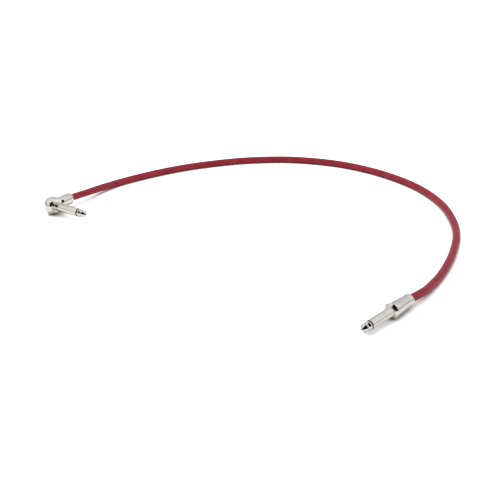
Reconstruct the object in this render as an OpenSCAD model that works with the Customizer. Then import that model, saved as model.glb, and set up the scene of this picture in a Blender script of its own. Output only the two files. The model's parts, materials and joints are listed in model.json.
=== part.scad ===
// Instrument patch lead: screened cable with a straight plug on one end and a right-angle plug on
// the other. Millimetres, Z up. The lead lies on the plane z = 0, and the origin is on that plane,
// under the middle of the box that holds the two plugs. Each plug is drawn in its own frame, with
// X along its finger towards the nose. Threads are smooth, at their outside diameter.

/* [Layout] */
// Width of the box that holds the two plugs
lay_w = 261.5; // [240:0.5:284]
// Depth of that box
lay_d = 219.5; // [204:0.5:236]
// Heading of the straight plug's finger, in degrees from +X
straight_turn = -130; // [-138:1:-122]
// Heading of the angle plug's finger, in degrees from +X
angle_turn = -35; // [-42:1:-28]

/* [Cable] */
// Diameter over the jacket
cable_d = 5.5; // [5.2:0.1:6.2]
// Diameter of the stranded core, drawn as one bar
core_d = 0.9; // [0.5:0.1:1.1]
// Wall of the insulation on the core
insulation_wall = 0.75; // [0.5:0.05:0.9]
// Wall of the conductive plastic that drains handling noise
drain_wall = 0.2; // [0.15:0.05:0.3]
// Thickness of the lapped copper shield
shield_wall = 0.3; // [0.2:0.05:0.35]
// Length of each layer that shows beyond the layer outside it, where the cable is stripped
strip_step = 0.4; // [0.3:0.1:0.6]
// Length of cable that runs dead straight out of each plug
lead_out = 6; // [5:0.5:8]

/* [Finger, the same on both plugs] */
// Diameter of the finger
finger_d = 6.35; // [6.2:0.05:6.5]
// Length from the shoulder to the end of the nose
finger_l = 31; // [29:0.5:33]
// Length of the tip contact that shows
tip_l = 7.2; // [7:0.1:8]
// Length of the insulating ring behind the tip contact
ring_l = 1.4; // [1:0.1:1.8]
// Length of the tip contact's full-diameter land
land_l = 0.9; // [0.5:0.1:1.1]
// Diameter of the neck that the jack's spring drops into
neck_d = 4.1; // [3.8:0.1:4.4]
// Distance from the land to the middle of the neck
neck_run = 1.2; // [1:0.1:1.4]
// Hollow radius of the neck
neck_round = 0.6; // [0.5:0.1:0.8]
// Diameter of the crest ahead of the neck
crest_d = 5.9; // [5.6:0.1:6.1]
// Distance from the middle of the neck to the crest
crest_run = 1.9; // [1.6:0.1:2.2]
// Radius of the crest
crest_round = 0.6; // [0.4:0.1:0.9]
// Radius round the end of the nose
nose_round = 0.9; // [0.6:0.1:1.2]
// Diameter of the flat left by the lathe on the end of the nose
nose_flat = 0.3; // [0.1:0.1:0.6]
// Bore of the sleeve contact
sleeve_bore = 4.15; // [3.9:0.05:4.3]
// Diameter of the rod that carries the tip contact
rod_d = 2; // [1.8:0.1:2.2]

/* [Straight plug] */
// Diameter of the flange
flange_d = 10.8; // [10.2:0.1:12]
// Length of the cone on the front of the flange
cone_l = 1.4; // [1:0.1:2]
// Diameter of the flat face in front of that cone
cone_face_d = 7.2; // [6.8:0.1:8.4]
// Thickness of the flange behind the cone
flange_edge = 0.6; // [0.5:0.1:1]
// Chamfer on the edges of the flange and on the front of the barrel
rim = 0.3; // [0.2:0.05:0.4]
// Diameter of the thread that the barrel screws onto
thread_d = 7.4; // [7.2:0.1:7.8]
// Length of that thread
thread_l = 5; // [4.5:0.1:5.5]
// Diameter of the insulating bush behind the finger
bush_d = 5.6; // [5.2:0.1:5.8]
// Depth of the bush's seat behind the face of the flange
bush_seat = 4; // [3.6:0.1:4.2]
// Length of the bush
bush_l = 4; // [3.6:0.1:4.4]
// Front wall of the bush
bush_wall = 0.8; // [0.5:0.1:1]
// Diameter of the solder terminal
terminal_d = 3; // [2.7:0.1:3.4]
// Length of the solder terminal
terminal_l = 4.7; // [4.4:0.1:5.2]
// Depth of the socket that the rod is riveted in
rod_socket = 1.8; // [1.5:0.1:2]
// Metal between that socket and the solder cup
cup_web = 0.6; // [0.4:0.1:0.8]
// Diameter of the barrel in front of its taper
barrel_d = 9.8; // [9.4:0.1:10.6]
// Length from the face of the flange to the end of the barrel
barrel_l = 22; // [20:0.5:25]
// Length from the face of the flange to the start of the taper
parallel_l = 6; // [5:0.5:9]
// Diameter at the small end of the taper
taper_d = 8.1; // [7.8:0.1:8.8]
// Diameter of the bead at the end of the barrel
bead_d = 8.6; // [8.3:0.1:9.6]
// Length of the bead
bead_l = 3; // [2.6:0.1:3.4]
// Radius on the edges of the bead
bead_round = 0.8; // [0.4:0.1:1]
// Length of the neck between the taper and the bead
bead_neck = 0.6; // [0.4:0.1:0.8]
// Radial step from the cable's bore to the cavity in front of it
cavity_step = 0.2; // [0.1:0.05:0.3]

/* [Angle plug] */
// Diameter of the ball-shaped head
head_d = 14; // [13.4:0.1:16]
// Distance from the centre of the ball to the flat that the finger stands on
shoulder_at = 4; // [3.8:0.1:4.4]
// Metal between that flat and the chamber
face_wall = 1.8; // [1.4:0.1:2]
// Wall of the finger's spigot in the head
spigot_wall = 0.8; // [0.6:0.1:0.9]
// Diameter of the chamber that is open at the back of the head
chamber_d = 7.6; // [7.2:0.1:8]
// Wall of the insulating cup in the chamber
cup_wall = 0.8; // [0.5:0.1:1]
// Length of the terminal in the cup
block_l = 3.8; // [3.6:0.1:4]
// Depth of the terminal's socket for the rod
block_socket = 0.6; // [0.4:0.1:0.7]
// Thickness of the insulating disc behind the terminal
disc_t = 0.8; // [0.5:0.1:0.9]
// Gap between the disc and the cap
cap_gap = 0.2; // [0.1:0.05:0.3]
// Width of the cap's screwdriver slot
slot_w = 0.8; // [0.6:0.1:1.2]
// Depth of that slot at its middle
slot_deep = 0.7; // [0.4:0.1:0.9]
// Diameter of the arm that holds the cable
arm_d = 9.2; // [8.8:0.1:9.6]
// Distance from the centre of the ball to the end of the arm
arm_l = 18.5; // [17:0.5:22]
// Chamfer on the end of the arm
arm_chamfer = 0.5; // [0.2:0.1:0.8]
// Distance from the centre of the ball to the flat that the arm stands on
arm_seat = 5; // [4.8:0.1:5.2]
// Diameter of the arm's spigot in the head
arm_spigot_d = 7; // [6.9:0.1:7.2]

/* [Clamp screws] */
// Diameter of the two hollow grub screws that press on the shield
grub_d = 2.5; // [2:0.1:2.6]
// Width across the flats of their sockets
hex_w = 1.3; // [1:0.1:1.4]
// Depth of their sockets
hex_deep = 1; // [0.6:0.1:1.2]
// Depth of their outer ends below the metal round them
grub_sink = 0.1; // [0.05:0.05:0.2]
// Distance from the end of the barrel to the middle of the straight plug's screw
barrel_grub = 6; // [5.5:0.1:6.4]
// Distance from that flat to the middle of the angle plug's screw
arm_grub = 1.8; // [1.6:0.1:3]
// Angle at which the angle plug's screw leans up from the level
arm_grub_lean = 28; // [10:1:40]

/* [Clearances] */
// Radial gap between parts that are pressed or glued together
seat_gap = 0.03; // [0.02:0.01:0.05]
// Radial gap round a screw
screw_gap = 0.05; // [0.03:0.01:0.08]
// Radial gap round the cable in a plug
cable_gap = 0.15; // [0.1:0.05:0.2]
// Radial gap between two layers of the cable
lay_gap = 0.05; // [0.03:0.01:0.08]
// Radial gap between a grub screw and its pocket in the jacket
pocket_gap = 0.3; // [0.2:0.05:0.4]

/* [Hidden] */

fine = 96;              // facets of a turned surface
arc_step = 12;          // degrees between the points of a rounded corner
through = 0.5;          // how far a cutter runs past the metal it cuts
cable_sides = 8;        // sides of the cable's solid, one of them an edge straight down

// The finger, measured from its shoulder
finger_r = finger_d / 2;
rod_r = rod_d / 2;
tip_back = finger_l - tip_l;
sleeve_l = tip_back - ring_l;
neck_at = tip_back + land_l + neck_run;
crest_at = neck_at + crest_run;
sleeve_bore_r = sleeve_bore / 2;
rod_hole_r = rod_r + seat_gap;

// The layers of the cable, each [outer radius, inner radius]
core_r = core_d / 2;
insulation_in = core_r + lay_gap;
insulation_r = insulation_in + insulation_wall;
drain_in = insulation_r + lay_gap;
drain_r = drain_in + drain_wall;
shield_in = drain_r + lay_gap;
shield_r = shield_in + shield_wall;
jacket_in = shield_r + lay_gap;
jacket_r = cable_d / 2;
cable_bore_r = jacket_r + cable_gap;

// The straight plug, measured from the face of its flange
flange_r = flange_d / 2;
barrel_r = barrel_d / 2;
cone_face_r = cone_face_d / 2;
flange_t = cone_l + flange_edge;
thread_r = thread_d / 2;
bush_r = bush_d / 2;
bead_r = bead_d / 2;
taper_r = taper_d / 2;
terminal_r = terminal_d / 2;
thread_end = -(flange_t + thread_l);
terminal_front = -(bush_seat + bush_wall);
terminal_end = terminal_front - terminal_l;
straight_cup = terminal_front - rod_socket - cup_web;
straight_rod_end = terminal_front - rod_socket + cable_gap;
taper_end = -(barrel_l - bead_l - bead_neck);
cavity_r = max(cable_bore_r, bush_r) + cavity_step;
straight_strip = [for (i = [0 : 4]) -terminal_end + (i + 1) * strip_step];

// The angle plug, measured from the centre of its ball
head_r = head_d / 2;
chamber_r = chamber_d / 2;
chamber_front = shoulder_at - face_wall;
spigot_r = sleeve_bore_r + spigot_wall;
cup_r = chamber_r - seat_gap;
block_hole_r = cup_r - cup_wall;
block_r = block_hole_r - seat_gap;
block_front = chamber_front - cup_wall;
block_end = block_front - block_l;
cap_front = block_end - disc_t - cap_gap;
cap_r = chamber_r - screw_gap;
arm_r = arm_d / 2;
arm_spigot_r = arm_spigot_d / 2;
arm_spigot_end = chamber_r + seat_gap;
arm_hole_floor = chamber_r - cup_wall / 2;
insulation_hole_r = insulation_r + cable_gap;
angle_strip = concat([chamber_r - cup_wall / 2], [for (i = [1 : 3]) chamber_r + i * strip_step]);

// The grub screws, measured from the middle of the cable
grub_r = grub_d / 2;
grub_hole_r = grub_r + screw_gap;
grub_tip = shield_r + cable_gap;
pocket_r = grub_r + pocket_gap;
straight_grub_at = -(barrel_l - barrel_grub);
angle_grub_at = arm_seat + arm_grub;
barrel_at_grub = taper_r + (barrel_r - taper_r) * (straight_grub_at - taper_end)
    / (-parallel_l - taper_end);

// Where the plugs lie: each rests on the plane, against the sides of the box
function heading(a) = [cos(a), sin(a), 0];
finger_way = heading(straight_turn);
arm_way = heading(angle_turn + 90);
bead_reach = (barrel_l - bead_round) * abs(finger_way.x)
    + (bead_r - bead_round) * abs(finger_way.y) + bead_round;
nose_reach = (finger_l - nose_round) * abs(finger_way.y)
    + nose_flat / 2 * abs(finger_way.x) + nose_round;
arm_reach = arm_l * arm_way.y + (arm_r - arm_chamfer) * arm_way.x;
face = [lay_w / 2 - bead_reach, nose_reach - lay_d / 2, flange_r];
ball = [head_r - lay_w / 2, lay_d / 2 - arm_reach, head_r];

// The way the cable lies from the angle plug to the straight plug, chosen by hand:
// each point is [x, y, height above lying flat]
route = [
    [-102.5, 123, 3.2], [-95, 136.5, 1.7], [-86.5, 149, 0.5], [-76, 160.5, 0],
    [-64.5, 170, 0], [-52, 179.5, 0], [-39, 188, 0], [-25, 196, 0],
    [-10, 202.5, 0], [5, 208, 0], [20.5, 212.5, 0], [36.5, 215, 0],
    [52.5, 216, 0], [68, 215, 0], [83.5, 211.5, 0], [98.5, 206.5, 0],
    [112.5, 199.5, 0], [125.5, 190.5, 0], [137.5, 180, 0], [148.5, 168, 0],
    [158, 155, 0], [166, 141.5, 0], [172, 127, 0], [176.5, 112, 0],
    [179.5, 96.5, 0], [180.5, 80.5, 0], [180.5, 64.5, 0], [179, 48.5, 0],
    [176, 33, 0], [171.5, 17, 0], [166.5, 1.5, 0], [160.5, -13.5, 0],
    [154, -28, 0], [147, -41, 0.4], [139.5, -54, 1.4]
];
lie = concat(
    [ball + (arm_l + lead_out) * arm_way],
    [for (p = route) [p.x, p.y, jacket_r + p.z]],
    [face - (barrel_l + lead_out) * finger_way]
);
cable_length = way_length(concat([ball + arm_l * arm_way], lie, [face - barrel_l * finger_way]));
echo(cable_length = cable_length);

function way_length(way, i = 1) =
    i == len(way) ? 0 : norm(way[i] - way[i - 1]) + way_length(way, i + 1);

// An outline is a loop of circles, each [distance from the axis, place along it, radius]. Straight
// lines touch one circle after the next on its right. A radius of 0 is a sharp corner, and a
// negative one a hollow.
function line_side(p, q) =
    let (d = [q.x - p.x, q.y - p.y])
    atan2(d.y, d.x) - acos((p.z - q.z) / norm(d));

function turn_between(a, b) =
    let (t = (b - a) % 360)
    t > 180 ? t - 360 : (t < -180 ? t + 360 : t);

function corner(before, c, after) =
    let (
        start = line_side(before, c),
        turn = turn_between(start, line_side(c, after)),
        steps = c.z == 0 ? 0 : ceil(abs(turn) / arc_step)
    )
    steps == 0
        ? [[c.x + c.z * cos(start), c.y + c.z * sin(start)]]
        : [for (i = [0 : steps])
            let (a = start + turn * i / steps)
            [c.x + c.z * cos(a), c.y + c.z * sin(a)]];

function outline(loop) =
    let (n = len(loop))
    [for (i = [0 : n - 1]) each corner(loop[(i + n - 1) % n], loop[i], loop[(i + 1) % n])];

// A turned piece on the X axis, from its outline
module turned(loop) {
    rotate([0, 90, 0])
        rotate_extrude($fn = fine)
            polygon(outline(loop));
}

// A plain round bar on the X axis
module bar(r, from, to) {
    translate([from, 0, 0])
        rotate([0, 90, 0])
            cylinder(r = r, h = to - from, $fn = fine);
}

// A plain round bar on the Y axis
module cross_bar(r, from, to) {
    translate([0, from, 0])
        rotate([-90, 0, 0])
            cylinder(r = r, h = to - from, $fn = fine);
}

// A turned tube on the X axis
module tube(r, bore, from, to) {
    turned([[r, from, 0], [r, to, 0], [bore, to, 0], [bore, from, 0]]);
}

module in_straight() {
    translate(face)
        rotate([0, 0, straight_turn])
            children();
}

module in_angle() {
    translate(ball)
        rotate([0, 0, angle_turn])
            children();
}

module on_shoulder() {
    in_angle()
        translate([shoulder_at, 0, 0])
            children();
}

// Where the grub screws stand: X runs out from the middle of the cable
module at_straight_grub() {
    in_straight()
        translate([straight_grub_at, 0, 0])
            rotate([0, 0, -90])
                children();
}

module at_angle_grub() {
    in_angle()
        translate([0, angle_grub_at, 0])
            rotate([0, -arm_grub_lean, 0])
                children();
}

// The tip contact and its rod in one piece, from the end of the rod to the end of the nose
module tip_contact(rod_end) {
    turned([
        [0, rod_end, 0],
        [rod_r, rod_end, 0],
        [rod_r, tip_back, 0],
        [finger_r, tip_back, 0],
        [finger_r, tip_back + land_l, 0],
        [neck_d / 2 + neck_round, neck_at, -neck_round],
        [crest_d / 2 - crest_round, crest_at, crest_round],
        [nose_flat / 2, finger_l - nose_round, nose_round],
        [0, finger_l, 0]
    ]);
}

module tip_ring() {
    tube(finger_r, rod_hole_r, sleeve_l, tip_back);
}

module rod_tube(back) {
    tube(sleeve_bore_r - seat_gap, rod_hole_r, back, sleeve_l);
}

// A hollow grub screw on the X axis, with its socket in the outer end
module grub_screw(outer) {
    difference() {
        bar(grub_r, grub_tip, outer);
        translate([outer - hex_deep, 0, 0])
            rotate([0, 90, 0])
                cylinder(r = hex_w / 2 / cos(30), h = hex_deep + through, $fn = 6);
    }
}

// Straight plug

module straight_tip() {
    color("silver")
        in_straight()
            tip_contact(straight_rod_end);
}

module straight_tip_ring() {
    color("black")
        in_straight()
            tip_ring();
}

module straight_sleeve() {
    color("silver")
        in_straight()
            turned([
                [thread_r - rim, thread_end, 0],
                [thread_r, thread_end + rim, 0],
                [thread_r, -flange_t, 0],
                [flange_r - rim, -flange_t, 0],
                [flange_r, -flange_t + rim, 0],
                [flange_r, -cone_l, 0],
                [cone_face_r, 0, 0],
                [finger_r, 0, 0],
                [finger_r, sleeve_l, 0],
                [sleeve_bore_r, sleeve_l, 0],
                [sleeve_bore_r, -bush_seat, 0],
                [bush_r, -bush_seat, 0],
                [bush_r, thread_end, 0]
            ]);
}

module straight_rod_tube() {
    color("ivory")
        in_straight()
            rod_tube(-bush_seat);
}

module straight_rear_bush() {
    color("dimgray")
        in_straight()
            turned([
                [bush_r - seat_gap, -bush_seat - bush_l, 0],
                [bush_r - seat_gap, -bush_seat, 0],
                [rod_hole_r, -bush_seat, 0],
                [rod_hole_r, terminal_front, 0],
                [terminal_r + seat_gap, terminal_front, 0],
                [terminal_r + seat_gap, -bush_seat - bush_l, 0]
            ]);
}

module straight_terminal() {
    color("goldenrod")
        in_straight()
            difference() {
                turned([
                    [terminal_r, terminal_end, 0],
                    [terminal_r, terminal_front, 0],
                    [rod_hole_r, terminal_front, 0],
                    [rod_hole_r, terminal_front - rod_socket, 0],
                    [0, terminal_front - rod_socket, 0],
                    [0, straight_cup, 0],
                    [insulation_in, straight_cup, 0],
                    [insulation_in, terminal_end, 0]
                ]);
                translate([terminal_end - through, -terminal_d / 2 - through, 0])
                    cube([
                        -bush_seat - bush_l - terminal_end + through,
                        terminal_d + 2 * through,
                        terminal_d
                    ]);
            }
}

module straight_barrel() {
    color("silver")
        difference() {
            in_straight()
                turned([
                    [bead_r - bead_round, -barrel_l + bead_round, bead_round],
                    [bead_r - bead_round, -barrel_l + bead_l - bead_round, bead_round],
                    [taper_r, taper_end - bead_neck, 0],
                    [taper_r, taper_end, 0],
                    [barrel_r, -parallel_l, 0],
                    [barrel_r, -flange_t - rim, 0],
                    [barrel_r - rim, -flange_t, 0],
                    [thread_r + seat_gap, -flange_t, 0],
                    [thread_r + seat_gap, thread_end - cavity_step, 0],
                    [cavity_r, thread_end - cavity_step, 0],
                    [cavity_r, -straight_strip[4], 0],
                    [cable_bore_r, -straight_strip[4], 0],
                    [cable_bore_r, -barrel_l + rim, 0],
                    [cable_bore_r + rim, -barrel_l, 0]
                ]);
            at_straight_grub()
                bar(grub_hole_r, 0, barrel_r + through);
        }
}

module straight_grub_screw() {
    color("dimgray")
        at_straight_grub()
            grub_screw(barrel_at_grub - grub_sink);
}

// Angle plug

module angle_tip() {
    color("silver")
        on_shoulder()
            tip_contact(block_front - block_socket + cable_gap - shoulder_at);
}

module angle_tip_ring() {
    color("black")
        on_shoulder()
            tip_ring();
}

module angle_sleeve() {
    color("silver")
        on_shoulder()
            turned([
                [spigot_r, -face_wall, 0],
                [spigot_r, 0, 0],
                [finger_r, 0, 0],
                [finger_r, sleeve_l, 0],
                [sleeve_bore_r, sleeve_l, 0],
                [sleeve_bore_r, -face_wall, 0]
            ]);
}

module angle_rod_tube() {
    color("ivory")
        on_shoulder()
            rod_tube(-face_wall);
}

module angle_cup() {
    color("dimgray")
        in_angle()
            difference() {
                turned([
                    [cup_r, block_end, 0],
                    [cup_r, chamber_front, 0],
                    [rod_hole_r, chamber_front, 0],
                    [rod_hole_r, block_front, 0],
                    [block_hole_r, block_front, 0],
                    [block_hole_r, block_end, 0]
                ]);
                cross_bar(insulation_hole_r, 0, chamber_r + through);
            }
}

module angle_terminal() {
    color("goldenrod")
        in_angle()
            difference() {
                turned([
                    [0, block_end, 0],
                    [block_r, block_end, 0],
                    [block_r, block_front, 0],
                    [rod_hole_r, block_front, 0],
                    [rod_hole_r, block_front - block_socket, 0],
                    [0, block_front - block_socket, 0]
                ]);
                cross_bar(insulation_in, 0, chamber_r);
            }
}

// Half of the turned head: the ball with its flat, its chamber and the finger's hole
module head_section() {
    difference() {
        intersection() {
            circle(r = head_r, $fn = fine);
            translate([0, -head_r])
                square([head_r, head_r + shoulder_at]);
        }
        translate([0, -head_r - through])
            square([chamber_r, head_r + through + chamber_front]);
        square([spigot_r + seat_gap, shoulder_at + through]);
    }
}

module angle_head() {
    color("silver")
        in_angle()
            difference() {
                rotate([0, 90, 0])
                    rotate_extrude($fn = fine)
                        head_section();
                translate([-head_r, arm_seat, -head_r])
                    cube(head_d);
                cross_bar(arm_spigot_r + seat_gap, arm_hole_floor, arm_seat + through);
            }
}

module angle_arm() {
    color("silver")
        difference() {
            in_angle()
                rotate([0, 0, 90])
                    turned([
                        [arm_spigot_r, arm_spigot_end, 0],
                        [arm_spigot_r, arm_seat, 0],
                        [arm_r, arm_seat, 0],
                        [arm_r, arm_l - arm_chamfer, 0],
                        [arm_r - arm_chamfer, arm_l, 0],
                        [cable_bore_r + rim, arm_l, 0],
                        [cable_bore_r, arm_l - rim, 0],
                        [cable_bore_r, arm_spigot_end, 0]
                    ]);
            at_angle_grub()
                bar(grub_hole_r, 0, arm_r + through);
        }
}

module angle_cap_disc() {
    color("dimgray")
        in_angle()
            bar(cup_r, block_end - disc_t, block_end);
}

module angle_cap() {
    color("silver")
        in_angle()
            difference() {
                intersection() {
                    sphere(r = head_r, $fn = fine);
                    bar(cap_r, -head_r - through, cap_front);
                }
                translate([-head_r - through, -head_r, -slot_w / 2])
                    cube([slot_deep + through, head_d, slot_w]);
            }
}

module angle_grub_screw() {
    color("dimgray")
        at_angle_grub()
            grub_screw(arm_r - grub_sink);
}

// Cable

// A point's ring of corners, square to the way, with the first one straight down
function ring(way, i, r) =
    let (
        n = len(way),
        in_dir = i == 0 ? way[1] - way[0] : way[i] - way[i - 1],
        out_dir = i == n - 1 ? in_dir : way[i + 1] - way[i],
        ahead = in_dir / norm(in_dir) + out_dir / norm(out_dir),
        along = ahead / norm(ahead),
        level = cross([0, 0, 1], along),
        side = level / norm(level),
        up = cross(along, side)
    )
    [for (k = [0 : cable_sides - 1])
        let (a = 360 * k / cable_sides - 90)
        way[i] + r * (cos(a) * side + sin(a) * up)];

// One layer along a way. Its rings run out on the outside and, where it is hollow, back inside.
module layer(way, r, bore) {
    n = len(way);
    out = [for (i = [0 : n - 1]) ring(way, i, r)];
    back = bore > 0 ? [for (i = [n - 1 : -1 : 0]) ring(way, i, bore)] : [];
    rings = concat(out, back);
    count = len(rings);
    bands = bore > 0 ? count : count - 1;
    wall = [
        for (j = [0 : bands - 1], k = [0 : cable_sides - 1])
            let (
                a = j * cable_sides + k,
                b = j * cable_sides + (k + 1) % cable_sides,
                c = (j + 1) % count * cable_sides + k,
                d = (j + 1) % count * cable_sides + (k + 1) % cable_sides
            )
            each [[a, c, d], [a, d, b]]
    ];
    ends = bore > 0 ? [] : [
        [for (k = [0 : cable_sides - 1]) k],
        [for (k = [cable_sides - 1 : -1 : 0]) (count - 1) * cable_sides + k]
    ];
    polyhedron(points = [for (r = rings) each r], faces = concat(wall, ends));
}

// A layer's way, from where it is cut in the angle plug to where it is cut in the straight plug
function stripped(angle_cut, straight_cut) = concat(
    [ball + angle_cut * arm_way],
    lie,
    [face - straight_cut * finger_way]
);

module cable_jacket() {
    color("firebrick")
        difference() {
            layer(stripped(angle_strip[3], straight_strip[3]), jacket_r, jacket_in);
            at_straight_grub()
                bar(pocket_r, 0, jacket_r + through);
            at_angle_grub()
                bar(pocket_r, 0, jacket_r + through);
        }
}

module cable_shield() {
    color("peru")
        layer(stripped(angle_strip[2], straight_strip[2]), shield_r, shield_in);
}

module cable_drain_layer() {
    color("black")
        layer(stripped(angle_strip[1], straight_strip[1]), drain_r, drain_in);
}

module cable_insulation() {
    color("white")
        layer(stripped(angle_strip[0], straight_strip[0]), insulation_r, insulation_in);
}

module cable_core() {
    color("peru")
        layer(stripped(insulation_in, -straight_cup + strip_step), core_r, 0);
}

straight_tip();
straight_tip_ring();
straight_sleeve();
straight_rod_tube();
straight_rear_bush();
straight_terminal();
straight_barrel();
straight_grub_screw();
angle_tip();
angle_tip_ring();
angle_sleeve();
angle_rod_tube();
angle_cup();
angle_terminal();
angle_head();
angle_arm();
angle_cap_disc();
angle_cap();
angle_grub_screw();
cable_jacket();
cable_shield();
cable_drain_layer();
cable_insulation();
cable_core();
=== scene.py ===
# An instrument patch lead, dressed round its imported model: red screened cable with a straight jack
# plug on one end and a right-angle jack plug with a ball head on the other. Metres, Z up.

import json
import math

import bmesh
import bpy
from mathutils import Matrix, Vector


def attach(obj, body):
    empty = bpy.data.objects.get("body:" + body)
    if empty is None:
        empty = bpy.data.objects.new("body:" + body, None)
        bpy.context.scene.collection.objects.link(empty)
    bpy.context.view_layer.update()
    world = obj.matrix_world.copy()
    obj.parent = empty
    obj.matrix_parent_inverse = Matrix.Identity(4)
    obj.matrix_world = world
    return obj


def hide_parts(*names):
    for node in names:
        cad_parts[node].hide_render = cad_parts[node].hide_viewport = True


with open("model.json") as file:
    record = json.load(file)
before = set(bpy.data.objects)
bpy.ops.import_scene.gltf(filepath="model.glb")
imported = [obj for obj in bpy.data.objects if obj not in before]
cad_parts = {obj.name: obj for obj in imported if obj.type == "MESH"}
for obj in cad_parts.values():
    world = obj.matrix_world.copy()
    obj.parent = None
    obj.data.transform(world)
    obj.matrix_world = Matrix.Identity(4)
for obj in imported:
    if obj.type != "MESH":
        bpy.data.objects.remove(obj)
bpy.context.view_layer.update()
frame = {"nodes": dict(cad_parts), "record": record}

scene = bpy.context.scene
scene.view_settings.view_transform = "Standard"


# The camera stands on the long side of the table, a little above the lead, and looks down on it
# through a long lens.
MM = 0.001
FILM_W = 36
VIEW_LENS = 74.5
VIEW_PITCH = 23.5
VIEW_FROM = (27.8 * MM, -651.8 * MM, 293 * MM)


def linked(name, data):
    """A new object in the scene."""
    made = bpy.data.objects.new(name, data)
    scene.collection.objects.link(made)
    return made


camera = linked("camera", bpy.data.cameras.new("camera"))
camera.data.sensor_width = FILM_W
camera.data.lens = VIEW_LENS
camera.location = VIEW_FROM
camera.rotation_euler = (math.radians(90 - VIEW_PITCH), 0, 0)
scene.camera = camera


# The floor is a white sheet. The camera and the metal see it as white, with a painted contact shadow
# where the lead rests on it, and what it throws back on the lead is the light of plain white paint.
FLOOR_SIZE = 8
FLOOR_PAINT = 0.9
FLOOR_SHOWN = 1.7
FLOOR_MIRRORED = 1.02
CONTACT_REACH = 12 * MM
CONTACT_SAMPLES = 16
CONTACT_DARK = 0.05
CONTACT_LIT = 0.8
PAINTED_SHADOW_TONE = 0.27


class Wire:
    """A socket in a node tree. Arithmetic on it adds Math nodes, and node() adds any other kind."""

    def __init__(self, tree, socket=None):
        self.tree = tree
        self.socket = socket

    def node(self, kind, settings, inputs, output=0):
        made = self.tree.nodes.new(kind)
        for name, value in settings.items():
            setattr(made, name, value)
        for name, value in inputs.items():
            if isinstance(value, Wire):
                self.tree.links.new(value.socket, made.inputs[name])
            else:
                made.inputs[name].default_value = value
        return Wire(self.tree, made.outputs[output]) if made.outputs else None

    def maths(self, operation, *values):
        return self.node("ShaderNodeMath", {"operation": operation}, dict(enumerate(values)))

    def __add__(self, other):
        return self.maths("ADD", self, other)

    def __sub__(self, other):
        return self.maths("SUBTRACT", self, other)

    def __rsub__(self, other):
        return self.maths("SUBTRACT", other, self)

    def __mul__(self, other):
        return self.maths("MULTIPLY", self, other)

    def __pow__(self, other):
        return self.maths("POWER", self, other)

    __radd__ = __add__
    __rmul__ = __mul__

    def larger(self, other):
        """The larger of the two, so 1 where either mask is 1."""
        return self.maths("MAXIMUM", self, other)

    def between(self, low, high):
        """0 below low, 1 above high and smooth between them."""
        settings = {"interpolation_type": "SMOOTHSTEP"}
        return self.node("ShaderNodeMapRange", settings, {0: self, 1: low, 2: high})

    def blend(self, first, second):
        """The colour first where this is 0, and second where it is 1."""
        settings = {"data_type": "RGBA"}
        return self.node("ShaderNodeMix", settings, {0: self, 6: first, 7: second}, 2)

    def parts(self):
        """The X, Y and Z of a vector."""
        split = self.node("ShaderNodeSeparateXYZ", {}, {"Vector": self}).socket.node
        return [Wire(self.tree, socket) for socket in split.outputs]


def blank(owner):
    """The start of a material's or a world's node tree, with nothing in it."""
    owner.use_nodes = True
    owner.node_tree.nodes.clear()
    return Wire(owner.node_tree)


def rays(start):
    """Three masks: rays from the camera, rays from polished surfaces and rays through glass."""
    kinds = ("Is Camera Ray", "Is Glossy Ray", "Is Transmission Ray")
    return [start.node("ShaderNodeLightPath", {}, {}, kind) for kind in kinds]


def mesh_from(name, bm):
    """A mesh of a bmesh, which is then freed."""
    mesh = bpy.data.meshes.new(name)
    bm.to_mesh(mesh)
    bm.free()
    return mesh


bm = bmesh.new()
bmesh.ops.create_grid(bm, x_segments=1, y_segments=1, size=FLOOR_SIZE / 2)
floor = linked("floor", mesh_from("floor", bm))

floor_paint = bpy.data.materials.new("white_sweep")
start = blank(floor_paint)
eye, mirror, glass = rays(start)
# Painted contact shadow: the floor's tone is darkened where ambient occlusion finds the lead close
# by, both for the camera and in the metal's reflections.
open_air = start.node(
    "ShaderNodeAmbientOcclusion", {"samples": CONTACT_SAMPLES}, {"Distance": CONTACT_REACH}, "AO",
)
painted_contact_shadow = open_air.between(CONTACT_DARK, CONTACT_LIT) * (1 - PAINTED_SHADOW_TONE) + PAINTED_SHADOW_TONE
shown = painted_contact_shadow * FLOOR_SHOWN - FLOOR_PAINT
mirrored = painted_contact_shadow * FLOOR_MIRRORED - FLOOR_PAINT
tone = eye.larger(glass) * shown + mirror * mirrored + FLOOR_PAINT
paint = tone.node("ShaderNodeBsdfDiffuse", {}, {"Color": tone})
paint.node("ShaderNodeOutputMaterial", {}, {"Surface": paint})
floor.data.materials.append(floor_paint)


# The light is white and comes from all round, with one soft lamp high up behind the lead. The camera
# sees plain white, and polished metal sees walls that are darker low down and darker behind.
WHITE = (1, 1, 1, 1)
PLAIN_LIGHT = 0.85
SKY_MIRRORED = 0.94
WALL_MIRRORED = 0.5
WALL_FOOT = 0.0
WALL_TOP = 0.5
BACK_SHADE = 0.25
BACK_FROM = 0.2
BACK_FULL = 0.8
LAMP_SIZE = 1.2
LAMP_POWER = 6
LAMP_AT = (-0.5, 0.5, 1.1)

world = bpy.data.worlds.new("studio")
scene.world = world
start = blank(world)
eye, mirror, glass = rays(start)
back, up = start.node("ShaderNodeTexCoord", {}, {}, "Generated").parts()[1:]
height = up.between(WALL_FOOT, WALL_TOP)
behind = back.between(BACK_FROM, BACK_FULL)
walls = (height * (SKY_MIRRORED - WALL_MIRRORED) + WALL_MIRRORED) * (1 - behind * BACK_SHADE)
light = mirror * (walls - PLAIN_LIGHT) + PLAIN_LIGHT
level = eye.larger(glass).larger(light)
sky = level.node("ShaderNodeBackground", {}, {"Color": WHITE, "Strength": level})
sky.node("ShaderNodeOutputWorld", {}, {"Surface": sky})

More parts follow.
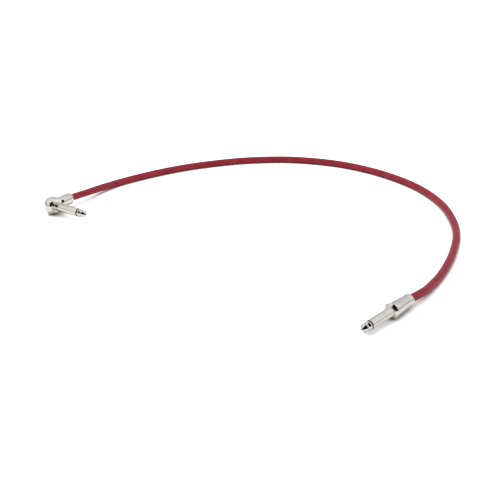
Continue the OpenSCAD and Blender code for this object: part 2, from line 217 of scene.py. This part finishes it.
lamp = linked("soft_lamp", bpy.data.lights.new("soft_lamp", "AREA"))
lamp.data.size = LAMP_SIZE
lamp.data.energy = LAMP_POWER
lamp.location = LAMP_AT
lamp.rotation_euler = (-Vector(LAMP_AT)).to_track_quat("-Z", "Y").to_euler()
lamp.visible_glossy = False


# A large round black shade stands on the camera's side and leans over the lead. It takes no light
# away, and only polished metal sees it, as the black patches on its rounds. Its edge is soft.
BLACK = (0, 0, 0, 1)
SHADE_AT = (0.03, -0.74, 0.42)
SHADE_R = 0.85
SHADE_EDGE = 0.12
SHADE_SIDES = 64

bm = bmesh.new()
bmesh.ops.create_circle(bm, cap_ends=True, segments=SHADE_SIDES, radius=SHADE_R)
shade = linked("dark_shade", mesh_from("dark_shade", bm))
shade.location = SHADE_AT
shade.rotation_euler = Vector(SHADE_AT).to_track_quat("Z", "Y").to_euler()
shade.visible_camera = False
shade.visible_diffuse = False
shade.visible_shadow = False


def material(name):
    """A new material, and the Object coordinates in it."""
    made = bpy.data.materials.new(name)
    return made, blank(made).node("ShaderNodeTexCoord", {}, {}, "Object")


shade_paint, here = material("soft_edged_black")
from_middle = here.node("ShaderNodeVectorMath", {"operation": "LENGTH"}, {0: here}, "Value")
past_edge = from_middle.between(SHADE_R - SHADE_EDGE, SHADE_R)
black = here.node("ShaderNodeBsdfDiffuse", {}, {"Color": BLACK})
clear = here.node("ShaderNodeBsdfTransparent", {}, {})
faded = here.node("ShaderNodeMixShader", {}, {0: past_edge, 1: black, 2: clear})
faded.node("ShaderNodeOutputMaterial", {}, {"Surface": faded})
shade.data.materials.append(shade_paint)


# The plugs' places. Each plug has its own frame: X along the finger towards the nose, Y to its left
# and Z up. The straight plug's starts at the face of its flange, and the angle plug's in its ball.
MOUNT_AT = 12.1 * MM
SHOULDER_AT = 4 * MM
QUARTER_TURN = math.radians(90)
mounts = {mount["name"]: mount for mount in frame["record"]["mounts"]}


def plug_place(name, back):
    """A frame on the axis of a mount, set back from it."""
    along = Vector(mounts[name]["axis"]).normalized()
    left = Vector((0, 0, 1)).cross(along)
    place = Matrix((along, left, along.cross(left))).transposed().to_4x4()
    place.translation = Vector(mounts[name]["pos_m"]) - along * back
    return place


straight_place = plug_place("straight_plug_finger", MOUNT_AT)
shoulder_place = plug_place("angle_plug_finger", MOUNT_AT)
angle_place = plug_place("angle_plug_finger", MOUNT_AT + SHOULDER_AT)
arm_place = angle_place @ Matrix.Rotation(QUARTER_TURN, 4, "Z")


# The cable: a soft red PVC jacket, extruded over a lapped copper shield, a thin conductive layer,
# white insulation and a stranded core. It lies loose from the angle plug's arm to the straight
# plug's barrel, and inside each of them its layers are cut back one after another.
CABLE_R = 2.75 * MM
ARM_L = 18.5 * MM
BARREL_L = 22 * MM
LEAD_OUT = 6 * MM
ROUTE = [
    (-102.5, 123, 3.2), (-95, 136.5, 1.7), (-86.5, 149, 0.5), (-76, 160.5, 0),
    (-64.5, 170, 0), (-52, 179.5, 0), (-39, 188, 0), (-25, 196, 0),
    (-10, 202.5, 0), (5, 208, 0), (20.5, 212.5, 0), (36.5, 215, 0),
    (52.5, 216, 0), (68, 215, 0), (83.5, 211.5, 0), (98.5, 206.5, 0),
    (112.5, 199.5, 0), (125.5, 190.5, 0), (137.5, 180, 0), (148.5, 168, 0),
    (158, 155, 0), (166, 141.5, 0), (172, 127, 0), (176.5, 112, 0),
    (179.5, 96.5, 0), (180.5, 80.5, 0), (180.5, 64.5, 0), (179, 48.5, 0),
    (176, 33, 0), (171.5, 17, 0), (166.5, 1.5, 0), (160.5, -13.5, 0),
    (154, -28, 0), (147, -41, 0.4), (139.5, -54, 1.4),
]
CURVE_STEPS = 10
ROUND_STEPS = 10
CUBIC_ORDER = 4
CUBIC_WEIGHTS = 1 + 4 + 1
RED_DEEP = (0.26, 0.014, 0.028, 1)
RED_BRIGHT = (0.32, 0.020, 0.036, 1)
RED_BLOTCHES = 90
RED_GRAIN = 2600
RED_HAZE = 420
RED_ROUGH = 0.34
RED_ROUGH_MORE = 0.1
NOISE_MIDDLE = (0.3, 0.7)
BARE_ROUGH = 0.22
BARE_ROUGH_MORE = 0.2

lie = [Vector((x * MM, y * MM, CABLE_R + rise * MM)) for x, y, rise in ROUTE]


def cable_way(arm_cut, barrel_cut):
    """The middle of the cable, from a layer's end in the arm to its end in the barrel."""
    in_arm = (arm_cut, ARM_L, ARM_L + LEAD_OUT)
    in_barrel = (BARREL_L + LEAD_OUT, BARREL_L, barrel_cut)
    first = [arm_place @ Vector((at, 0, 0)) for at in in_arm]
    last = [straight_place @ Vector((-at, 0, 0)) for at in in_barrel]
    return first + lie + last


def cable_layer(name, arm_cut, barrel_cut, radius):
    """A layer of the cable, round a cubic curve. The curve runs inside its points, so they are
    pulled out until it goes by the cable's way. They carry the radius, as its box takes that in."""
    way = cable_way(arm_cut, barrel_cut)
    pulled = [way[0]]
    for before, at, after in zip(way, way[1:], way[2:]):
        pulled.append(at + (2 * at - before - after) / CUBIC_WEIGHTS)
    pulled.append(way[-1])
    curve = bpy.data.curves.new(name, "CURVE")
    curve.dimensions = "3D"
    curve.resolution_u = CURVE_STEPS
    curve.bevel_depth = 1
    curve.bevel_resolution = ROUND_STEPS
    curve.use_fill_caps = True
    spline = curve.splines.new("NURBS")
    spline.points.add(len(pulled) - 1)
    for point, at in zip(spline.points, pulled):
        point.co = (*at, 1)
        point.radius = radius
    spline.order_u = CUBIC_ORDER
    spline.use_endpoint_u = True
    spline.use_smooth = True
    piece = linked(name, curve)
    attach(piece, "lead")
    return piece


def surface(here, **sockets):
    """Ends a material in a Principled shader with these sockets."""
    named = {name.replace("_", " "): value for name, value in sockets.items()}
    shader = here.node("ShaderNodeBsdfPrincipled", {}, named)
    shader.node("ShaderNodeOutputMaterial", {}, {"Surface": shader})


def noise(here, scale, detail=2):
    """Cloudy noise from 0 to 1, finer with a larger scale."""
    return here.node("ShaderNodeTexNoise", {}, {"Vector": here, "Scale": scale, "Detail": detail})


def bump(height, depth):
    """A normal for a surface that rises with a height from 0 to 1, by a depth in metres."""
    sockets = {"Height": height, "Distance": depth, "Strength": 1}
    return height.node("ShaderNodeBump", {}, sockets)


def mottled(name, dark, pale, scale, rough, rough_more, **sockets):
    """A plain finish that mottles a little in colour and in roughness."""
    made, here = material(name)
    mottle = noise(here, scale)
    surface(
        here,
        Base_Color=mottle.blend(dark, pale),
        Roughness=mottle * rough_more + rough,
        **sockets,
    )
    return made


def bare_metal(name, dull, bright, scale, depth):
    """Soft metal with a fine uneven surface, as drawn wire and tinned brass have."""
    made, here = material(name)
    grain = noise(here, scale)
    surface(
        here,
        Base_Color=grain.between(*NOISE_MIDDLE).blend(dull, bright),
        Metallic=1,
        Roughness=grain * BARE_ROUGH_MORE + BARE_ROUGH,
        Normal=bump(grain, depth),
    )
    return made


red_pvc, here = material("red_pvc")
blotches = noise(here, RED_BLOTCHES).between(*NOISE_MIDDLE)
haze = noise(here, RED_HAZE).between(*NOISE_MIDDLE)
surface(
    here,
    Base_Color=blotches.blend(RED_DEEP, RED_BRIGHT),
    Roughness=haze * RED_ROUGH_MORE + RED_ROUGH,
    Specular_IOR_Level=0.22,
    Normal=bump(noise(here, RED_GRAIN, detail=3), depth=0.04 * MM),
)
copper = bare_metal(
    "copper_strands", dull=(0.6, 0.25, 0.13, 1), bright=(0.86, 0.42, 0.24, 1),
    scale=3000, depth=0.03 * MM,
)
drain_plastic = mottled(
    "conductive_plastic", dark=(0.012, 0.012, 0.013, 1), pale=(0.03, 0.03, 0.032, 1),
    scale=1500, rough=0.5, rough_more=0.2,
)
white_plastic = mottled(
    "white_polyethylene", dark=(0.78, 0.78, 0.74, 1), pale=(0.86, 0.86, 0.83, 1),
    scale=1200, rough=0.4, rough_more=0.15, Subsurface_Weight=0.1,
)

# Each layer: its name, its slot and finish, where it ends in the arm and in the barrel, its radius.
LAYERS = (
    ("jacket", "jacket_red", red_pvc, 5 * MM, 11.1 * MM, CABLE_R),
    ("shield", "shield_copper", copper, 4.6 * MM, 10.7 * MM, 1.85 * MM),
    ("drain_layer", "drain_plastic", drain_plastic, 4.2 * MM, 10.3 * MM, 1.5 * MM),
    ("insulation", "insulation_white", white_plastic, 3.4 * MM, 9.9 * MM, 1.25 * MM),
    ("core", "shield_copper", copper, 0.6 * MM, 7.6 * MM, 0.45 * MM),
)
for name, slot, finish, arm_cut, barrel_cut, radius in LAYERS:
    piece = cable_layer(name, arm_cut, barrel_cut, radius)
    piece.data.materials.append(finish)
    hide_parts(f"cable_{name}")


# Nickel plate over turned brass, polished. The lathe's rings run round each turned piece, under a
# faint haze of handling.
NICKEL = (0.74, 0.72, 0.68, 1)
NICKEL_WARM = (0.70, 0.67, 0.61, 1)
RING_SCALE = 9000
RING_DEEP = 0.0015 * MM
RING_ROUGH = 0.05
HAZE_SCALE = 260
HAZE_WARM = (0.35, 0.75)
HAZE_DULL = (0.3, 0.8)
HAZE_ROUGH = 0.08
POLISH_ROUGH = 0.07


def nickel(name, place):
    """Polished nickel on a piece turned about the X axis of its place."""
    made, here = material(name)
    turn = {"Location": place.to_translation(), "Rotation": place.to_euler()}
    own = here.node("ShaderNodeMapping", {"vector_type": "TEXTURE"}, {"Vector": here, **turn})
    along, left, up = own.parts()
    out = (left * left + up * up) ** 0.5
    groove = {"X": along * RING_SCALE, "Y": out * RING_SCALE, "Z": 0}
    rings = noise(own.node("ShaderNodeCombineXYZ", {}, groove), 1, detail=3)
    haze = noise(own, HAZE_SCALE, detail=3)
    surface(
        own,
        Base_Color=haze.between(*HAZE_WARM).blend(NICKEL, NICKEL_WARM),
        Metallic=1,
        Roughness=haze.between(*HAZE_DULL) * HAZE_ROUGH + rings * RING_ROUGH + POLISH_ROUGH,
        Normal=bump(rings, RING_DEEP),
    )
    return made


# The fingers are the same on both plugs: a nickel tip contact with its rod in one piece, a black
# insulating ring, and a nickel sleeve that the jack's frame grips. They are turned, and like most of
# the turned pieces here they have their edges broken by a hair.
FINGER_R = 3.175 * MM
FINGER_L = 31 * MM
TIP_BACK = 23.8 * MM
SLEEVE_L = 22.4 * MM
ROD_R = 1 * MM
ROD_HOLE_R = 1.03 * MM
STRAIGHT_ROD_END = -6.45 * MM
ANGLE_ROD_END = -3.05 * MM
SLEEVE_BORE_R = 2.075 * MM
LAND_L = 0.9 * MM
NECK_R = 2.05 * MM
NECK_ROUND = 0.6 * MM
NECK_AT = 25.9 * MM
CREST_R = 2.95 * MM
CREST_ROUND = 0.6 * MM
CREST_AT = 27.8 * MM
NOSE_ROUND = 0.9 * MM
NOSE_FLAT_R = 0.15 * MM
HAIR = 0.05 * MM
MERGE = 0.0005 * MM
TURN_STEPS = 96
ARC_STEP = math.radians(9)
SHARP = math.radians(28)
CREASE = math.radians(40)


def line_side(first, second):
    """The direction square to the line that touches two circles on its left, in radians."""
    out = second[0] - first[0]
    on = second[1] - first[1]
    return math.atan2(on, out) - math.acos((first[2] - second[2]) / math.hypot(out, on))


def outline(loop):
    """The points round a loop of circles, each (distance from the axis, place along it, radius).
    A radius of 0 is a corner, and a negative one is a hollow."""
    points = []
    for number, circle in enumerate(loop):
        out, on, radius = circle
        start = line_side(loop[number - 1], circle)
        turn = line_side(circle, loop[(number + 1) % len(loop)]) - start
        turn = (turn + math.pi) % math.tau - math.pi
        steps = math.ceil(abs(turn) / ARC_STEP) if radius else 0
        for step in range(steps + 1):
            angle = start + turn * step / max(steps, 1)
            points.append((out + radius * math.cos(angle), on + radius * math.sin(angle)))
    return points


def spun(loop, steps=TURN_STEPS):
    """A solid turned about the X axis, as a bmesh."""
    bm = bmesh.new()
    verts = [bm.verts.new((on, max(out, 0), 0)) for out, on in outline(loop)]
    edges = [bm.edges.new(pair) for pair in zip([verts[-1], *verts], verts)]
    bmesh.ops.spin(
        bm, geom=verts + edges, cent=(0, 0, 0), axis=(1, 0, 0), dvec=(0, 0, 0),
        angle=math.tau, steps=steps, use_merge=True,
    )
    bmesh.ops.remove_doubles(bm, verts=bm.verts, dist=MERGE)
    bmesh.ops.dissolve_degenerate(bm, edges=bm.edges, dist=MERGE)
    bmesh.ops.recalc_face_normals(bm, faces=bm.faces)
    return bm


def break_edges(bm, width=HAIR, segments=2):
    """Rounds every sharp edge."""
    sharp = [e for e in bm.edges if len(e.link_faces) == 2 and e.calc_face_angle() > SHARP]
    bmesh.ops.bevel(
        bm, geom=sharp, offset=width, offset_type="OFFSET", segments=segments,
        profile=0.5, affect="EDGES", material=-1, clamp_overlap=True,
    )


def placed(name, bm, place, finish, node, body="lead"):
    """Puts a bmesh in its place as a piece with one finish, instead of a node of the model."""
    bm.transform(place)
    mesh = mesh_from(name, bm)
    mesh.shade_smooth()
    mesh.set_sharp_from_angle(angle=CREASE)
    mesh.materials.append(finish)
    piece = linked(name, mesh)
    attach(piece, body)
    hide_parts(node)
    return piece


straight_nickel = nickel("nickel_straight_plug", straight_place)
angle_nickel = nickel("nickel_angle_plug", shoulder_place)
black_plastic = mottled(
    "black_acetal", dark=(0.012, 0.012, 0.012, 1), pale=(0.022, 0.022, 0.022, 1),
    scale=900, rough=0.28, rough_more=0.15,
)


def finger(plug, place, finish, rod_end):
    """The tip contact and the ring behind it, on a plug whose finger starts at place."""
    tip = spun([
        (0, rod_end, 0),
        (ROD_R, rod_end, 0),
        (ROD_R, TIP_BACK, 0),
        (FINGER_R, TIP_BACK, 0),
        (FINGER_R, TIP_BACK + LAND_L, 0),
        (NECK_R + NECK_ROUND, NECK_AT, -NECK_ROUND),
        (CREST_R - CREST_ROUND, CREST_AT, CREST_ROUND),
        (NOSE_FLAT_R, FINGER_L - NOSE_ROUND, NOSE_ROUND),
        (0, FINGER_L, 0),
    ])
    break_edges(tip)
    placed(f"{plug}_tip_contact", tip, place, finish, f"{plug}_tip")
    ring = spun([
        (FINGER_R, SLEEVE_L, 0),
        (FINGER_R, TIP_BACK, 0),
        (ROD_HOLE_R, TIP_BACK, 0),
        (ROD_HOLE_R, SLEEVE_L, 0),
    ])
    break_edges(ring)
    placed(f"{plug}_ring", ring, place, black_plastic, f"{plug}_tip_ring")


finger("straight", straight_place, straight_nickel, STRAIGHT_ROD_END)
finger("angle", shoulder_place, angle_nickel, ANGLE_ROD_END)


# The straight plug's sleeve is turned from one bar: the finger's sleeve, a coned flange that stops
# against the jack, and a threaded spigot behind it.
FLANGE_R = 5.4 * MM
FLANGE_T = 2 * MM
CONE_L = 1.4 * MM
CONE_FACE_R = 3.6 * MM
RIM = 0.3 * MM
THREAD_R = 3.7 * MM
THREAD_END = -7 * MM
BUSH_R = 2.8 * MM
BUSH_SEAT = -4 * MM

sleeve = spun([
    (THREAD_R - RIM, THREAD_END, 0),
    (THREAD_R, THREAD_END + RIM, 0),
    (THREAD_R, -FLANGE_T, 0),
    (FLANGE_R - RIM, -FLANGE_T, 0),
    (FLANGE_R, -FLANGE_T + RIM, 0),
    (FLANGE_R, -CONE_L, 0),
    (CONE_FACE_R, 0, 0),
    (FINGER_R, 0, 0),
    (FINGER_R, SLEEVE_L, 0),
    (SLEEVE_BORE_R, SLEEVE_L, 0),
    (SLEEVE_BORE_R, BUSH_SEAT, 0),
    (BUSH_R, BUSH_SEAT, 0),
    (BUSH_R, THREAD_END, 0),
])
break_edges(sleeve)
placed("straight_sleeve_contact", sleeve, straight_place, straight_nickel, "straight_sleeve")


# The barrel screws onto the spigot up to the flange. It is turned nickel-plated brass, tapers back
# from the plug, and ends in a rounded bead with a bore for the cable.
BARREL_R = 4.9 * MM
PARALLEL_L = 6 * MM
TAPER_R = 4.05 * MM
TAPER_END = -18.4 * MM
BEAD_R = 4.3 * MM
BEAD_L = 3 * MM
BEAD_ROUND = 0.8 * MM
BEAD_NECK = 0.6 * MM
BORE_R = 2.9 * MM
CAVITY_R = 3.1 * MM
CAVITY_END = -11.5 * MM
THREAD_RELIEF = 0.2 * MM
SEAT_GAP = 0.03 * MM

barrel_bmesh = spun([
    (BEAD_R - BEAD_ROUND, -BARREL_L + BEAD_ROUND, BEAD_ROUND),
    (BEAD_R - BEAD_ROUND, -BARREL_L + BEAD_L - BEAD_ROUND, BEAD_ROUND),
    (TAPER_R, TAPER_END - BEAD_NECK, 0),
    (TAPER_R, TAPER_END, 0),
    (BARREL_R, -PARALLEL_L, 0),
    (BARREL_R, -FLANGE_T - RIM, 0),
    (BARREL_R - RIM, -FLANGE_T, 0),
    (THREAD_R + SEAT_GAP, -FLANGE_T, 0),
    (THREAD_R + SEAT_GAP, THREAD_END - THREAD_RELIEF, 0),
    (CAVITY_R, THREAD_END - THREAD_RELIEF, 0),
    (CAVITY_R, CAVITY_END, 0),
    (BORE_R, CAVITY_END, 0),
    (BORE_R, -BARREL_L + RIM, 0),
    (BORE_R + RIM, -BARREL_L, 0),
])
break_edges(barrel_bmesh)
barrel = placed("barrel", barrel_bmesh, straight_place, straight_nickel, "straight_barrel")


# The clamp screws: hollow grub screws of blackened steel, one in the barrel and one in the arm. Each
# presses on the shield through a hole in the jacket. Their threads are rolled ridges.
GRUB_R = 1.25 * MM
GRUB_ROOT_R = 1.02 * MM
GRUB_HOLE_R = 1.3 * MM
GRUB_HOLE_FOOT = 0.5 * MM
GRUB_COUNTERSINK = 0.12 * MM
GRUB_TIP = 2 * MM
GRUB_SINK = 0.1 * MM
GRUB_CHAMFER = 0.15 * MM
GRUB_END_CHAMFER = 0.1 * MM
GRUB_PITCH = 0.45 * MM
RIDGE_SHAPE = ((0, 0), (0.42, 1), (0.52, 1), (0.94, 0))
RIDGE_SINK = 0.03 * MM
RIDGE_START = 0.1 * MM
RIDGE_STOP = 0.02 * MM
RIDGE_STEPS = 32
SCREW_STEPS = 48
HEX_SIDES = 6
HEX_W = 1.3 * MM
HEX_DEEP = 1 * MM
CUT_PAST = 0.5 * MM
BARREL_GRUB_AT = -16 * MM
ARM_GRUB_AT = 6.8 * MM
ARM_GRUB_LEAN = math.radians(28)
ARM_R = 4.6 * MM

black_steel = mottled(
    "blackened_steel", dark=(0.02, 0.02, 0.022, 1), pale=(0.05, 0.05, 0.055, 1),
    scale=2200, rough=0.3, rough_more=0.2, Metallic=0.8,
)
along_taper = (BARREL_GRUB_AT - TAPER_END) / (-PARALLEL_L - TAPER_END)
barrel_out = TAPER_R + (BARREL_R - TAPER_R) * along_taper
straight_grub_place = (
    straight_place
    @ Matrix.Translation((BARREL_GRUB_AT, 0, 0))
    @ Matrix.Rotation(-QUARTER_TURN, 4, "Z")
)
angle_grub_place = (
    angle_place
    @ Matrix.Translation((0, ARM_GRUB_AT, 0))
    @ Matrix.Rotation(-ARM_GRUB_LEAN, 4, "Y")
)


def carve(piece, bm, place, operation="DIFFERENCE"):
    """Takes a bmesh out of a piece for good, or joins it on with a union."""
    bm.transform(place)
    mesh = mesh_from("tool", bm)
    tool = linked("tool", mesh)
    carving = piece.modifiers.new("carving", "BOOLEAN")
    carving.operation = operation
    carving.solver = "EXACT"
    carving.object = tool
    finished = piece.evaluated_get(bpy.context.evaluated_depsgraph_get())
    made = bpy.data.meshes.new_from_object(finished)
    piece.modifiers.clear()
    old = piece.data
    piece.data = made
    made.name = piece.name
    made.set_sharp_from_angle(angle=CREASE)
    bpy.data.meshes.remove(old)
    bpy.data.objects.remove(tool)
    bpy.data.meshes.remove(mesh)


def screw_hole(out):
    """A cutter for a grub screw's hole, with a small countersink at its mouth."""
    mouth = out - GRUB_COUNTERSINK
    return spun([
        (0, GRUB_HOLE_FOOT, 0),
        (GRUB_HOLE_R, GRUB_HOLE_FOOT, 0),
        (GRUB_HOLE_R, mouth, 0),
        (GRUB_HOLE_R + CUT_PAST, mouth + CUT_PAST, 0),
        (0, mouth + CUT_PAST, 0),
    ], SCREW_STEPS)


def ridge(root, crest, start, stop):
    """A thread's ridge as a bmesh, winding about the X axis."""
    bm = bmesh.new()
    turns = (stop - start - GRUB_PITCH) / GRUB_PITCH
    steps = round(turns * RIDGE_STEPS)
    verts = [
        bm.verts.new((start + GRUB_PITCH * on, root + (crest - root) * out, 0))
        for on, out in RIDGE_SHAPE
    ]
    face = bm.faces.new(verts)
    bmesh.ops.spin(
        bm, geom=[face, *verts, *face.edges], cent=(0, 0, 0), axis=(1, 0, 0),
        dvec=(GRUB_PITCH * turns / steps, 0, 0), angle=math.tau * turns, steps=steps,
        use_merge=False,
    )
    bmesh.ops.recalc_face_normals(bm, faces=bm.faces)
    return bm


def grub_screw(name, out, place):
    """A grub screw from its flat point to its socket end, on the body of its own name."""
    end = out - GRUB_SINK
    screw = spun([
        (0, GRUB_TIP, 0),
        (GRUB_ROOT_R - GRUB_CHAMFER, GRUB_TIP, 0),
        (GRUB_ROOT_R, GRUB_TIP + GRUB_CHAMFER, 0),
        (GRUB_ROOT_R, end - GRUB_CHAMFER, 0),
        (GRUB_ROOT_R - GRUB_END_CHAMFER, end, 0),
        (0, end, 0),
    ], SCREW_STEPS)
    piece = placed(
        name, screw, place, black_steel, f"{name}_screw", body=name,
    )
    key = bmesh.new()
    corner_r = HEX_W / 2 / math.cos(math.pi / HEX_SIDES)
    bmesh.ops.create_cone(
        key, cap_ends=True, segments=HEX_SIDES, radius1=corner_r, radius2=corner_r,
        depth=2 * HEX_DEEP,
    )
    key.transform(Matrix.Translation((end, 0, 0)) @ Matrix.Rotation(QUARTER_TURN, 4, "Y"))
    carve(piece, key, place)
    thread = ridge(GRUB_ROOT_R - RIDGE_SINK, GRUB_R, GRUB_TIP + RIDGE_START, end - RIDGE_STOP)
    carve(piece, thread, place, "UNION")


carve(barrel, screw_hole(barrel_out), straight_grub_place)
grub_screw("straight_grub", barrel_out, straight_grub_place)
grub_screw("angle_grub", ARM_R, angle_grub_place)


# The angle plug's sleeve is a plain turned tube of nickel-plated brass, stepped down at the back to
# a spigot that is pressed into the front of the ball.
SPIGOT_R = 2.875 * MM
FACE_WALL = 1.8 * MM

angle_sleeve = spun([
    (SPIGOT_R, -FACE_WALL, 0),
    (SPIGOT_R, 0, 0),
    (FINGER_R, 0, 0),
    (FINGER_R, SLEEVE_L, 0),
    (SLEEVE_BORE_R, SLEEVE_L, 0),
    (SLEEVE_BORE_R, -FACE_WALL, 0),
])
break_edges(angle_sleeve)
placed("angle_sleeve_contact", angle_sleeve, shoulder_place, angle_nickel, "angle_sleeve")


# The angle plug's head is a ball of nickel-plated brass, turned and drilled: a flat for the finger,
# a flat with a hole for the arm, and a chamber at the back for the terminal.
BALL_R = 7 * MM
BALL_STEPS = 40
CHAMBER_R = 3.8 * MM
CHAMBER_FRONT = 2.2 * MM
FLAT_EDGE = 0.12 * MM
ON_FLAT = 0.0001 * MM
ARM_SEAT = 5 * MM
ARM_SPIGOT_R = 3.5 * MM
ARM_HOLE_FLOOR = 3.4 * MM
ARM_HOLE_TOP = ARM_SEAT + 1 * MM


def ball_arc(first, last, steps):
    """Points along the ball's surface between two angles from the axis, as sharp corners."""
    angles = [first + (last - first) * step / steps for step in range(steps + 1)]
    return [(BALL_R * math.sin(angle), BALL_R * math.cos(angle), 0) for angle in angles]


flat_angle = math.acos(SHOULDER_AT / BALL_R)
mouth_angle = math.pi - math.asin(CHAMBER_R / BALL_R)
head_bmesh = spun([
    *ball_arc(mouth_angle, flat_angle, BALL_STEPS),
    (SPIGOT_R + SEAT_GAP, SHOULDER_AT, 0),
    (SPIGOT_R + SEAT_GAP, CHAMBER_FRONT, 0),
    (CHAMBER_R, CHAMBER_FRONT, 0),
])
arm_flat = bmesh.ops.bisect_plane(
    head_bmesh, geom=[*head_bmesh.verts, *head_bmesh.edges, *head_bmesh.faces], dist=ON_FLAT,
    plane_co=(0, ARM_SEAT, 0), plane_no=(0, 1, 0), clear_outer=True,
)
rim_edges = [edge for edge in arm_flat["geom_cut"] if isinstance(edge, bmesh.types.BMEdge)]
bmesh.ops.holes_fill(head_bmesh, edges=rim_edges, sides=0)
bmesh.ops.recalc_face_normals(head_bmesh, faces=head_bmesh.faces)
break_edges(head_bmesh, FLAT_EDGE, segments=3)
head = placed("ball_head", head_bmesh, angle_place, angle_nickel, "angle_head")
arm_hole = spun([
    (0, ARM_HOLE_FLOOR, 0),
    (ARM_SPIGOT_R + SEAT_GAP, ARM_HOLE_FLOOR, 0),
    (ARM_SPIGOT_R + SEAT_GAP, ARM_HOLE_TOP, 0),
    (0, ARM_HOLE_TOP, 0),
])
carve(head, arm_hole, arm_place)


# The arm is a plain turned tube of nickel-plated brass. Its spigot is seated in the side of the ball,
# and the cable runs in at its other end and is held by the arm's clamp screw.
ARM_SPIGOT_END = 3.83 * MM
ARM_CHAMFER = 0.5 * MM

arm_nickel = nickel("nickel_arm", arm_place)
arm_bmesh = spun([
    (ARM_SPIGOT_R, ARM_SPIGOT_END, 0),
    (ARM_SPIGOT_R, ARM_SEAT, 0),
    (ARM_R, ARM_SEAT, 0),
    (ARM_R, ARM_L - ARM_CHAMFER, 0),
    (ARM_R - ARM_CHAMFER, ARM_L, 0),
    (BORE_R + RIM, ARM_L, 0),
    (BORE_R, ARM_L - RIM, 0),
    (BORE_R, ARM_SPIGOT_END, 0),
])
break_edges(arm_bmesh)
arm = placed("arm", arm_bmesh, arm_place, arm_nickel, "angle_arm")
carve(arm, screw_hole(ARM_R), angle_grub_place)


# The cap closes the chamber at the back of the ball and completes its round. It screws in with a
# coin or a screwdriver, and comes out to solder the core to its terminal.
CAP_R = 3.75 * MM
CAP_ROOT_R = 3.5 * MM
CAP_FRONT = -3.4 * MM
CAP_THREAD_L = 1.9 * MM
CAP_STEP = 0.1 * MM
CAP_STEPS = 16
CAP_MIDDLE = 0.02
SLOT_W = 0.8 * MM
SLOT_DEEP = 0.7 * MM

rim_angle = math.pi - math.asin(CAP_R / BALL_R)
cap_bmesh = spun([
    (0, CAP_FRONT, 0),
    (CAP_ROOT_R, CAP_FRONT, 0),
    (CAP_ROOT_R, CAP_FRONT - CAP_THREAD_L, 0),
    (CAP_R, CAP_FRONT - CAP_THREAD_L - CAP_STEP, 0),
    *ball_arc(rim_angle, math.pi - CAP_MIDDLE, CAP_STEPS),
    (0, -BALL_R, 0),
])
cap = placed("screw_cap", cap_bmesh, angle_place, angle_nickel, "angle_cap", body="cap")
slot_bar = bmesh.new()
bmesh.ops.create_cube(slot_bar, size=1)
bar_size = Matrix.Diagonal((2 * SLOT_DEEP, 4 * CAP_R, SLOT_W, 1))
slot_bar.transform(Matrix.Translation((-BALL_R, 0, 0)) @ bar_size)
carve(cap, slot_bar, angle_place)


# Inside the plugs: nylon tubes and black bushes keep the rod and the terminals clear of the metal
# round them, and the core is soldered to tinned brass terminals.
natural_nylon = mottled(
    "natural_nylon", dark=(0.70, 0.66, 0.54, 1), pale=(0.80, 0.77, 0.66, 1),
    scale=700, rough=0.4, rough_more=0.15,
)
tinned_brass = bare_metal(
    "tinned_brass", dull=(0.72, 0.52, 0.25, 1), bright=(0.78, 0.66, 0.44, 1),
    scale=1100, depth=0.01 * MM,
)
INNER = {
    "straight_rod_tube": natural_nylon,
    "angle_rod_tube": natural_nylon,
    "straight_rear_bush": black_plastic,
    "angle_cup": black_plastic,
    "angle_cap_disc": black_plastic,
    "straight_terminal": tinned_brass,
    "angle_terminal": tinned_brass,
}
for node, finish in INNER.items():
    inner = frame["nodes"][node]
    inner.data.materials.clear()
    inner.data.materials.append(finish)
